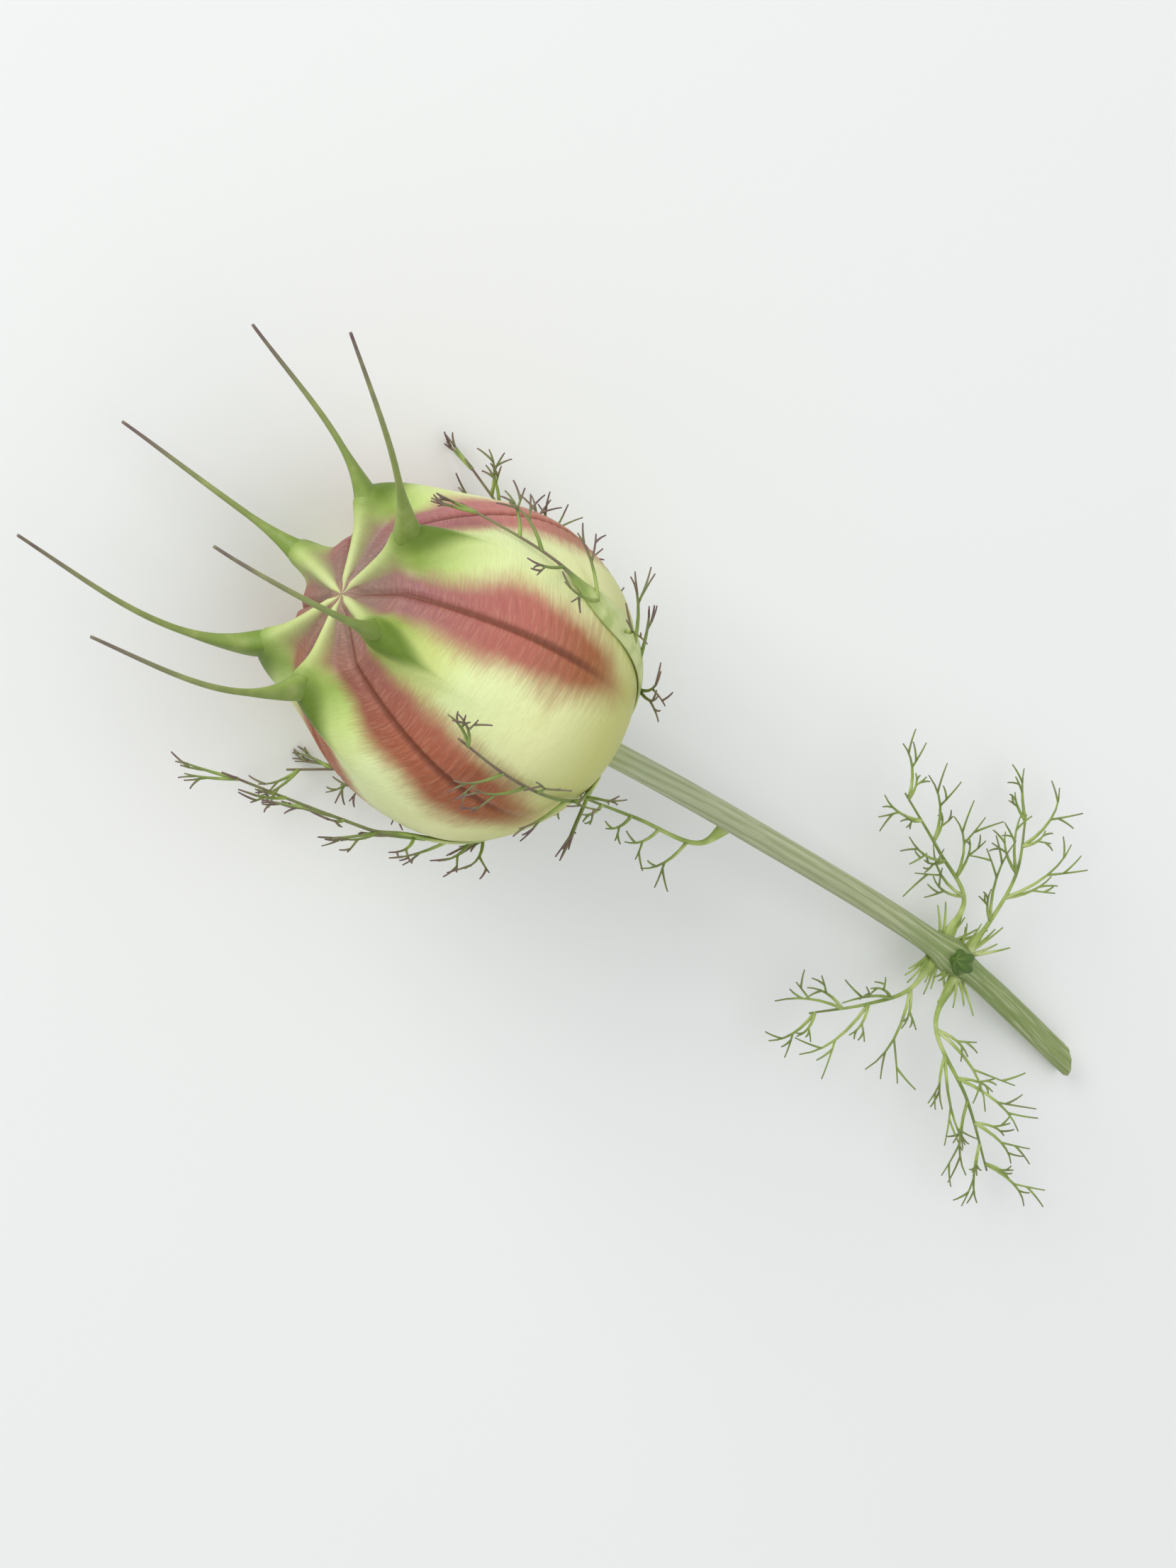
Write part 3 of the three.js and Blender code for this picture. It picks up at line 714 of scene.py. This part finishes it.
stem_values = {
    "round_x": np.cos(stem_around[None]),
    "round_y": np.sin(stem_around[None]),
    "rib": np.cos(STEM_RIBS * stem_around[None]),
    "length": stem_length[None],
    "pith": stem_pith[None],
    "bud": np.zeros_like(stem_pith[None]),
}
bud_values = {
    "round_x": np.cos(bud_angle[None]),
    "round_y": np.sin(bud_angle[None]),
    "rib": bud_fold[None],
    "length": plain,
    "pith": plain,
    "bud": mix(0.1, 1, bud_share[None]) * mix(0.6, 1, (1 + bud_fold[None]) / 2),
}
add_piece("stem_rod", [(stem_rings[None], stem_path[:1], stem_rings[-1:].mean(axis=1), stem_values),
                       (bud_rings[None], bud_ends[:1], bud_ends[1:], bud_values)],
          stem_paint.material, "stem")

# %% [markdown]
# ## Threads by the hundred
# Bracts and leaves are cut into threads: a rachis, forked twigs along it, and smaller forks on those. A
# curve object for each would be slow and can't carry a colour from root to tip. So all threads of one
# leaf are worked out together, as quadratic curves with six-sided rings.

# %% Many threads at once
THREAD_SIDES = 6
THREAD_RINGS = 7


def on_curve(start, bend, end, t):
    """(1-t)^2 start + 2t(1-t) bend + t^2 end."""
    return (1 - t) ** 2 * start + 2 * t * (1 - t) * bend + t**2 * end


def threads(start, bend, end, start_radius, end_radius, start_tint, end_tint):
    """Rings along quadratic curves, with a radius and a tint that change evenly from end to end."""
    t = np.linspace(0, 1, THREAD_RINGS)[None, :, None]
    path = on_curve(start[:, None], bend[:, None], end[:, None], t)
    tangent = unit(2 * (1 - t) * (bend - start)[:, None] + 2 * t * (end - bend)[:, None])
    across = unit(np.cross(tangent, np.array([0.31, 0.22, 0.93])))
    normal = np.cross(across, tangent)
    angle = np.linspace(0, 2 * np.pi, THREAD_SIDES, endpoint=False)[:, None]
    radius = mix(start_radius[:, None], end_radius[:, None], t[..., 0])
    ring = np.cos(angle) * normal[:, :, None] + np.sin(angle) * np.cross(tangent, normal)[:, :, None]
    rings = path[:, :, None] + radius[..., None, None] * ring
    tint = mix(start_tint[:, None], end_tint[:, None], t[..., 0])
    tints = np.broadcast_to(tint[..., None], rings.shape[:3])
    return rings, path[:, 0], path[:, -1], {"tint": tints}


def draws(seed, count):
    """Repeatable numbers from 0 to 1, each from the last by one multiplication and one sum."""
    state, drawn = seed, []
    for _ in range(count):
        state = (state * 1664525 + 1013904223) % 2**32
        drawn.append(state / 2**32)
    return np.array(drawn)


print("thread helpers ready")

# %% [markdown]
# ## One rule for every cut leaf
# Twigs leave the rachis in turn to the left and right, rise a little off it and fork. Each end of a fork
# carries one smaller thread. The same rule makes bracts and leaves; only the rachis, the twigs' length
# and spread, how dry their tips are, and what they must keep clear of differ. Repeatable draws vary the
# rise and the reach.

# %% Cut a leaf into threads
TWIG_ANGLE = np.radians(52)
FEATHER_ANGLE = np.radians(34)  # feathers are finer twigs that point further forwards
FORK_ANGLE = np.radians(26)
SMALL_ANGLE = np.radians(40)
TWIGS_FROM, TWIGS_TO = 0.24, 0.96  # the share of a rachis that carries twigs
FORK_AT = 0.55
TWIG_RADIUS = 0.17
FINE_RADIUS = 0.11
TIP_RADIUS = 0.06
RACHIS_SIDES = 12


def heading(along, aside, angle):
    """A direction that turns from along towards aside by an angle."""
    return unit(along * np.cos(angle) + aside * np.sin(angle))


def cut_leaf(path, count, length, seed, outward_at, clear, sides=2, spread=TWIG_ANGLE, dry=1.0):
    """Threads of the twigs on a rachis, their forks, and a smaller thread on each of those."""
    share = np.linspace(TWIGS_FROM, TWIGS_TO, count)[:, None]
    root, along = along_path(path, share[:, 0])
    outward = outward_at(root)
    turn = np.where(np.arange(count) % sides == 1, 1, -1)[:, None]
    aside = unit(np.cross(along, outward)) * turn
    drawn = draws(seed, 2 * count).reshape(count, 2)
    rise = mix(0.1, 0.9, drawn[:, :1])
    opened = aside * np.cos(rise) + outward * np.sin(rise)
    reach = length * mix(1, 0.6, share) * mix(0.75, 1.2, drawn[:, 1:])
    fork = clear(root + heading(along, opened, spread) * reach * FORK_AT)
    ends = [clear(fork + heading(along, opened, spread + sign * FORK_ANGLE) * reach * (1 - FORK_AT))
            for sign in (-1, 1)]
    bends = [2 * fork - (root + ends[0]) / 2, (fork + ends[1]) / 2 + outward * 0.2]
    rows = [(root, bends[0], ends[0], TWIG_RADIUS, TIP_RADIUS, 0.25, 0.9),
            (fork, bends[1], ends[1], FINE_RADIUS, TIP_RADIUS, 0.55, 1.0)]
    extra = draws(seed + 101, 6 * count).reshape(count, 6, 1)
    for column, (base, first, last) in enumerate([(root, 0.6, 0.85), (fork, 0.2, 0.7)]):
        small = unit(ends[column] - fork)
        start = on_curve(base, bends[column], ends[column], mix(first, last, extra[:, column]))
        side = unit(np.cross(small, outward)) * np.where(extra[:, column + 2] < 0.5, -1, 1)
        far_reach = reach * mix(0.2, 0.42, extra[:, column + 4])
        far = clear(start + heading(small, side, SMALL_ANGLE) * far_reach)
        rows.append((start, (start + far) / 2 + small * 0.2, far, FINE_RADIUS, TIP_RADIUS, 0.7, 1.0))
    start, bend, end = (np.concatenate([row[k] for row in rows]) for k in range(3))
    numbers = [np.repeat([row[k] for row in rows], count) for k in range(3, 7)]
    return threads(start, bend, end, numbers[0], numbers[1], numbers[2] * dry, numbers[3] * dry)


def rachis(path, facing, wide, deep, tint):
    """A flattened rod along a path, wide across the side that it faces."""
    count = len(path)
    angle = np.linspace(0, 2 * np.pi, RACHIS_SIDES, endpoint=False)
    angle = np.broadcast_to(angle, (count, RACHIS_SIDES))
    rings = rings_along(path, facing, angle, np.broadcast_to(wide[:, None], angle.shape),
                        np.broadcast_to(deep[:, None], angle.shape))
    return rings[None], path[:1], path[-1:], {"tint": np.broadcast_to(tint[:, None], angle.shape)[None]}


print("leaf rule ready")

# %% [markdown]
# ## The finish of the threads
# A bract's strap is pale green, threads are green, and their tips have dried to purple brown. One tint
# along each thread carries that, with a little noise so that no two look alike.

# %% Paint the threads
thread_paint = Finish("thread_green", 0.6, 0.05)
tint = thread_paint.attribute("tint")
uneven = thread_paint.noise(420.0, 2.0)
shade = thread_paint.maths("ADD", tint, thread_paint.span(uneven, 0.25, 0.75, -0.16, 0.16))
thread_colour = thread_paint.ramp(shade, [
    (0.00, paint(200, 208, 146)),
    (0.20, paint(160, 178, 98)),
    (0.45, paint(120, 140, 70)),
    (0.70, paint(116, 118, 80)),
    (0.88, paint(112, 92, 84)),
    (1.00, paint(98, 78, 82)),
])
thread_paint.colour(thread_colour)
thread_paint.bump(uneven, 0.00004)
print("thread finish ready")

# %% [markdown]
# ## The bracts
# Five bracts leave the top of the stem, hug the capsule's side as pale straps and run out into threads
# that lift off. Their points follow the capsule's own formula, moved out by a small gap, so they lie on
# it from every side.

# %% Lay the bracts round the capsule
# Azimuth and polar reach in degrees, the tip's lift off the skin and its drift in degrees, how many twigs,
# and the strap's share of the length and its width.
BRACTS = [
    {"azimuth": 42, "reach": 129, "lift": 1.0, "drift": 33, "twigs": 7, "strap": 0.62, "width": 2.9},
    {"azimuth": 126, "reach": 100, "lift": 5.0, "drift": 2, "twigs": 8, "strap": 0.4, "width": 2.2},
    {"azimuth": -24, "reach": 112, "lift": 0.6, "drift": 2, "twigs": 6, "strap": 0.34, "width": 1.6},
    {"azimuth": -80, "reach": 130, "lift": 9.0, "drift": -2, "twigs": 9, "strap": 0.5, "width": 2.2},
    {"azimuth": -132, "reach": 98, "lift": 5.0, "drift": 2, "twigs": 8, "strap": 0.4, "width": 2.2},
]
BRACT_START = 0.137  # polar angle where a bract first meets the capsule
BRACT_DROP = 0.9  # how far below the capsule it leaves the stem
BRACT_KNOTS = 7
BRACT_STEPS = 72
BRACT_HUG = 0.5  # gap between a thread's midline and the skin
BRACT_FLOOR = 0.2  # least height of a thread's midline above the surface
BRACT_BEND = 7  # power of the share run, so that lift and drift come late
BRACT_TWIG_LENGTH = 7.0
BRACT_FEATHER_LENGTH = 7.0
BRACT_SEED = 11
THREAD_WIDTH = 0.2  # half widths of a rachis at its root and at its tip
THREAD_TIP_WIDTH = 0.1
STRAP_DEPTH = 0.2  # half of a strap's thickness
STRAP_LIFT = 0.16  # a strap's middle above the skin, so that its inner side touches
POD_UP = np.array([0.0, np.sin(LEAN), np.cos(LEAN)])  # the surface's upward direction in the pod's frame


def length_of(vectors):
    """Lengths of vectors, kept as a last axis of one."""
    return np.linalg.norm(vectors, axis=-1, keepdims=True)


def skin_distance(points):
    """How far the skin is from the capsule's middle, by the polar angle and azimuth of each point."""
    s = np.arccos(np.clip(-points[..., 1:2] / length_of(points), -1, 1))[..., 0]
    return length_of(capsule_skin(np.minimum(s, RIM_ANGLE), np.arctan2(points[..., 0], points[..., 2])))


def off_capsule(points):
    """Points pushed straight out of the capsule, and up off the surface, until they have room."""
    moved = points * np.maximum((skin_distance(points) + BRACT_HUG) / length_of(points), 1)
    height = REST_HEIGHT + moved @ POD_UP
    return moved + np.maximum(BRACT_FLOOR - height, 0)[..., None] * POD_UP


def cupped(rings, deep, share):
    """Ring points laid on the skin, each by its own rise above the strap's middle, where share is 1."""
    rise = deep[:, None] * np.cos(np.linspace(0, 2 * np.pi, rings.shape[1], endpoint=False))
    laid = unit(rings) * (skin_distance(rings) + STRAP_LIFT + rise[..., None])
    return mix(rings, laid, share[:, None, None])


def bract(shape, seed):
    """Points on the capsule from the stem to the reach, lifted and turned by a power of the share run."""
    share = np.linspace(0, 1, BRACT_KNOTS)
    s = mix(BRACT_START, np.radians(shape["reach"]), share)
    azimuth = np.radians(shape["azimuth"] + shape["drift"] * share**BRACT_BEND)
    knots = capsule_skin(s, azimuth)
    knots = knots + unit(knots) * (BRACT_HUG + shape["lift"] * share**BRACT_BEND)[:, None]
    knots[1:] = off_capsule(knots[1:])
    on_stem = np.array([np.sin(azimuth[0]), -BASE_LENGTH - BRACT_DROP, np.cos(azimuth[0])])
    path = smooth_path(np.concatenate([[on_stem], knots]), BRACT_STEPS)
    run = np.linspace(0, 1, len(path))
    strap = ease(run, 0, 0.12) * (1 - ease(run, shape["strap"] - 0.08, shape["strap"] + 0.12))
    path = mix(path, unit(path) * (skin_distance(path) + STRAP_LIFT), strap[:, None])
    thin = mix(THREAD_WIDTH, THREAD_TIP_WIDTH, run)
    wide = mix(thin, shape["width"] / 2, strap)
    deep = mix(thin, STRAP_DEPTH, strap)
    rings, root, tip, values = rachis(path, unit(path), wide, deep, mix(0.2 + 0.65 * run, 0, strap))
    main = cupped(rings[0], deep, strap)[None], root, tip, values
    twigs = cut_leaf(path, shape["twigs"], BRACT_TWIG_LENGTH, seed, unit, off_capsule)
    feathers = cut_leaf(path, shape["twigs"] - 2, BRACT_FEATHER_LENGTH, seed + 50, unit, off_capsule,
                        spread=FEATHER_ANGLE)
    return [(*map(laid_down, part[:3]), part[3]) for part in (main, twigs, feathers)]


for index, shape in enumerate(BRACTS):
    add_piece(f"bract_threads_{index + 1}", bract(shape, BRACT_SEED + index), thread_paint.material,
              f"bract_{index + 1}")

# %% [markdown]
# ## The leaves on the stem
# One leaf lies back along the stem below the pod, and four spread from the leafy joint. They follow the
# same rule of threads, but head off in plan and only have to stay above the surface. They are fresher
# than the bracts, so their tips stay green, long feathers that point forwards stand between their twigs,
# and a tuft of short threads fans out from the root of each leaf at the joint.

# %% Spread the leaves
# Distance down the stem, heading in plan in degrees, length, heights of the middle and the tip above the
# root, how many twigs, and whether they stand on one side or on both.
LEAVES = [
    {"at": 18.0, "heading": 188, "length": 17, "rise": 0.6, "tip": 1.2, "twigs": 5, "sides": 1},
    {"at": NODE_AT - 1.2, "heading": 156, "length": 16, "rise": 2.6, "tip": 3.2, "twigs": 6, "sides": 2},
    {"at": NODE_AT + 1.2, "heading": 100, "length": 12, "rise": 1.6, "tip": -0.6, "twigs": 5, "sides": 2},
    {"at": NODE_AT - 1.4, "heading": 220, "length": 12, "rise": 1.6, "tip": 0.4, "twigs": 5, "sides": 2},
    {"at": NODE_AT + 1.4, "heading": 326, "length": 20, "rise": 0.4, "tip": -1.8, "twigs": 7, "sides": 2},
]
LEAF_TWIG_LENGTH = 5.0
LEAF_FEATHER_LENGTH = 9.0
LEAF_DRYNESS = 0.62
TUFT_THREADS = 7
TUFT_LENGTH = 3.2
LEAF_SEED = 29
LEAF_FLOOR = 0.4  # least height of a thread's midline above the surface
LEAF_ROOT_RADIUS = 0.5
LEAF_SUNK = 0.15  # how far a leaf's root is sunk in the stem
LEAF_ASIDE = 0.16  # share of the length that a leaf steps away from the stem
LEAF_FORWARD = [0.04, 0.44, 0.86]  # shares of the length where its points lie along the heading
LEAF_STEPS = 48


def off_surface(points):
    """Points lifted to a least height."""
    lifted = np.array(points, float)
    lifted[..., 2] = np.maximum(lifted[..., 2], LEAF_FLOOR)
    return lifted


def straight_up(points):
    """The free side of a leaf that lies down."""
    return np.broadcast_to([0.0, 0.0, 1.0], points.shape)


def tuft(root, along, across, seed):
    """Short threads that fan out from both sides of a leaf's root."""
    drawn = draws(seed + 200, 3 * TUFT_THREADS).reshape(3, TUFT_THREADS, 1)
    fan = np.linspace(-1, 1, TUFT_THREADS)[:, None] + mix(-0.3, 0.3, drawn[2])
    start = root + along * fan
    way = unit(across + along * 0.9 * fan + np.array([0.0, 0.0, 1.0]) * mix(0.1, 0.9, drawn[0]))
    end = off_surface(start + way * TUFT_LENGTH * mix(0.6, 1.2, drawn[1]))
    same = np.ones(TUFT_THREADS)
    bend = (start + end) / 2 + np.array([0.0, 0.0, 0.3])
    return threads(start, bend, end, TWIG_RADIUS * same, TIP_RADIUS * same, 0.1 * same, 0.4 * same)


def leaf(shape, seed):
    """A rachis that starts beside the stem, steps away from it and heads off in plan."""
    turn = np.radians(shape["heading"])
    plan = np.array([np.cos(turn), np.sin(turn), 0.0])
    centre, along = along_path(stem_path, shape["at"] / STEM_LENGTH)
    across = unit(plan - np.dot(plan, along) * along)
    root = centre + across * (stem_radius(shape["at"]) - LEAF_SUNK)
    beside = centre + across * (stem_radius(shape["at"]) + LEAF_ROOT_RADIUS + 0.3)
    length = shape["length"]
    aside = beside + across * LEAF_ASIDE * length
    knots = np.array([root] + [aside + plan * forward * length for forward in LEAF_FORWARD])
    knots[1:, 2] = beside[2] + np.array([0.3 * shape["rise"], shape["rise"], shape["tip"]])
    path = smooth_path(off_surface(knots), LEAF_STEPS)
    run = np.linspace(0, 1, len(path))
    wide = mix(0.24, 0.09, run) + 0.45 * np.exp(-((run / 0.1) ** 2))
    deep = mix(0.2, 0.09, run) + 0.1 * np.exp(-((run / 0.1) ** 2))
    main = rachis(path, straight_up(path), wide, deep, 0.1 + 0.5 * run)
    twigs = cut_leaf(path, shape["twigs"], LEAF_TWIG_LENGTH, seed, straight_up, off_surface,
                     sides=shape["sides"], dry=LEAF_DRYNESS)
    if shape["sides"] == 1:
        return [main, twigs]
    feathers = cut_leaf(path, shape["twigs"], LEAF_FEATHER_LENGTH, seed + 50, straight_up, off_surface,
                        spread=FEATHER_ANGLE, dry=LEAF_DRYNESS)
    return [main, twigs, feathers, tuft(root, along, across, seed)]


for index, shape in enumerate(LEAVES):
    add_piece(f"leaf_threads_{index + 1}", leaf(shape, LEAF_SEED + index), thread_paint.material,
              f"leaf_{index + 1}")

# %% [markdown]
# ## The camera
# The camera looks down on the pod from the crown's side: the pod's axis leans towards the eye, and the
# picture is rolled so that the horns point up and to the left. How far away the camera stands follows
# from the size of the solids as it sees them, so nothing is cut off.

# %% Place the camera
AXIS_TO_EYE = np.radians(35)  # how far the pod's axis leans towards the eye
AXIS_IN_PICTURE = np.radians(149.6)  # direction of the axis in the picture, from the right
IMAGE_WIDTH, IMAGE_HEIGHT = 1659, 2212
LENS = 100.0
SENSOR = 36.0
MARGIN = 1.1

eye_way = np.sin(AXIS_TO_EYE) * TO_CROWN + np.cos(AXIS_TO_EYE) * TO_TOP
axis_seen = np.cos(AXIS_TO_EYE) * TO_CROWN - np.sin(AXIS_TO_EYE) * TO_TOP
picture_right = np.cos(AXIS_IN_PICTURE) * axis_seen + np.sin(AXIS_IN_PICTURE) * TO_SIDE
picture_up = np.cross(eye_way, picture_right)


def node_points(node):
    """All corners of a solid, in metres."""
    corners = np.empty(len(node.data.vertices) * 3, np.float32)
    node.data.vertices.foreach_get("co", corners)
    return corners.reshape(-1, 3)


solid = np.concatenate([node_points(node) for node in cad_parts.values()])
seen_right, seen_up = solid @ picture_right, solid @ picture_up
centre = picture_right * (seen_right.min() + seen_right.max()) / 2
centre = centre + picture_up * (seen_up.min() + seen_up.max()) / 2
centre = centre + eye_way * np.mean(solid @ eye_way)
picture_width = MARGIN * max(np.ptp(seen_right), np.ptp(seen_up) * IMAGE_WIDTH / IMAGE_HEIGHT)
distance = picture_width * IMAGE_HEIGHT / IMAGE_WIDTH * LENS / SENSOR

camera = bpy.data.objects.new("camera", bpy.data.cameras.new("camera"))
camera.data.lens = LENS
camera.data.sensor_width = SENSOR
camera.data.clip_start = 0.01
pose = np.eye(4)
pose[:3, :3] = np.stack([picture_right, picture_up, eye_way], axis=1)
pose[:3, 3] = centre + eye_way * distance
camera.matrix_world = pose.T.tolist()
bpy.context.scene.collection.objects.link(camera)
bpy.context.scene.camera = camera
print(f"camera {distance * 1000:.0f} mm away, picture {picture_width * 1000:.0f} mm wide")

# %% [markdown]
# ## The floor
# The pod lies on a plain, pale, dull floor, large enough to fill the picture from any side. Four corners
# and one face are all that it needs.

# %% Lay the floor
FLOOR_SIZE = 4.0
floor_mesh = bpy.data.meshes.new("floor")
half = FLOOR_SIZE / 2
floor_corners = [(-half, -half, 0), (half, -half, 0), (half, half, 0), (-half, half, 0)]
floor_mesh.from_pydata(floor_corners, [], [(0, 1, 2, 3)])
floor_paint = Finish("floor_white", 0.8)
floor_paint.shader.inputs["Base Color"].default_value = paint(232, 232, 230)
floor_mesh.materials.append(floor_paint.material)
floor = bpy.data.objects.new("floor", floor_mesh)
bpy.context.scene.collection.objects.link(floor)
print(f"floor {FLOOR_SIZE:.0f} m square")

# %% [markdown]
# ## The light
# The light is soft, as on a table by a large window: one big square lamp stands for the window, a second,
# weaker one on the other side for a wall that throws light back, and a pale surrounding fills the
# shadows.

# %% Hang the lights
KEY_WAY = 0.75 * eye_way + 0.55 * picture_up - 0.5 * picture_right
FILL_WAY = 0.8 * eye_way - 0.25 * picture_up + 0.7 * picture_right
ROOM_COLOUR = (0.95, 0.98, 1.0, 1.0)
ROOM_STRENGTH = 0.68


def soft_light(name, direction, distance, size, power):
    """A square lamp that faces the pod from a direction."""
    lamp = bpy.data.lights.new(name, "AREA")
    lamp.size = size
    lamp.energy = power
    holder = bpy.data.objects.new(name, lamp)
    towards = unit(np.asarray(direction))
    across = unit(np.cross([0.0, 1.0, 0.0], towards))
    place = np.eye(4)
    place[:3, :3] = np.stack([across, np.cross(towards, across), towards], axis=1)
    place[:3, 3] = centre + towards * distance
    holder.matrix_world = place.T.tolist()
    bpy.context.scene.collection.objects.link(holder)


soft_light("window", KEY_WAY, distance=0.7, size=0.5, power=3.8)
soft_light("reflector", FILL_WAY, distance=0.8, size=0.7, power=1.5)
world = bpy.data.worlds.new("room")
world.use_nodes = True
room = world.node_tree.nodes["Background"]
room.inputs["Color"].default_value = ROOM_COLOUR
room.inputs["Strength"].default_value = ROOM_STRENGTH
bpy.context.scene.world = world
bpy.context.scene.view_settings.view_transform = "Standard"
print("lamps:", ", ".join(sorted(lamp.name for lamp in bpy.data.lights)))
